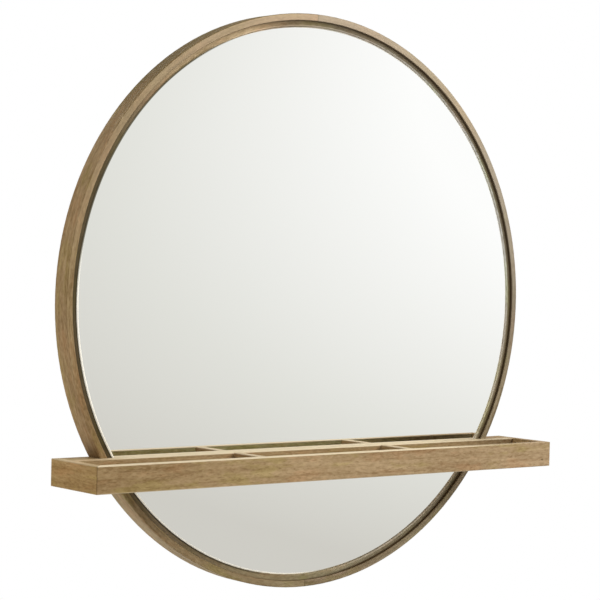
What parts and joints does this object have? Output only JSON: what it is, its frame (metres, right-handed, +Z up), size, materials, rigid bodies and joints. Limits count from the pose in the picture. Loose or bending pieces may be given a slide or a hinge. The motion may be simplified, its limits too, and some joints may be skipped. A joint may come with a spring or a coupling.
{
  "type": "mirror with shelf",
  "caption": "Round wall mirror in a thin bent wooden hoop, with a straight wooden tray shelf divided into compartments across its lower part.",
  "frame": {"origin": "midway between the centres of the two keyhole hangers' round entries, in the plane of the wall", "axes": "+X to the right seen from the front, +Y from the front of the mirror towards the wall, +Z up"},
  "size_m": [0.762, 0.106, 0.762],
  "materials": {
    "hoop_wood": "washed light brown, satin",
    "board_wood": "washed light brown, satin",
    "tray_wood": "washed light brown, satin",
    "floor_wood": "washed light brown, satin",
    "raw_wood": "bare, sanded",
    "mirror_glass": "polished, with a fine polished arris",
    "tape_foam": "closed-cell foam",
    "steel": "zinc plated",
    "pad_rubber": "matt"
  },
  "bodies": {
    "root": {"hoop_left": "hoop_wood", "hoop_right": "hoop_wood", "hoop_splines": "raw_wood", "mirror_board": "board_wood", "mirror_tape": "tape_foam", "mirror_glass": "mirror_glass", "front_rail": "tray_wood", "end_left": "tray_wood", "end_right": "tray_wood", "mitre_splines": "raw_wood", "back_rail": "tray_wood", "return_block_left": "tray_wood", "return_block_right": "tray_wood", "end_dowels": "raw_wood", "divider_left": "tray_wood", "divider_right": "tray_wood", "bottom_panel": "floor_wood", "hanging_rail_upper": "raw_wood", "hanging_rail_lower": "raw_wood", "shelf_batten": "raw_wood", "rail_screws": "steel", "keyhole_plates": "steel", "keyhole_screws": "steel", "shelf_plates": "steel", "shelf_plate_screws": "steel", "hoop_screws": "steel", "wall_bumpers": "pad_rubber"}
  },
  "joints": []
}
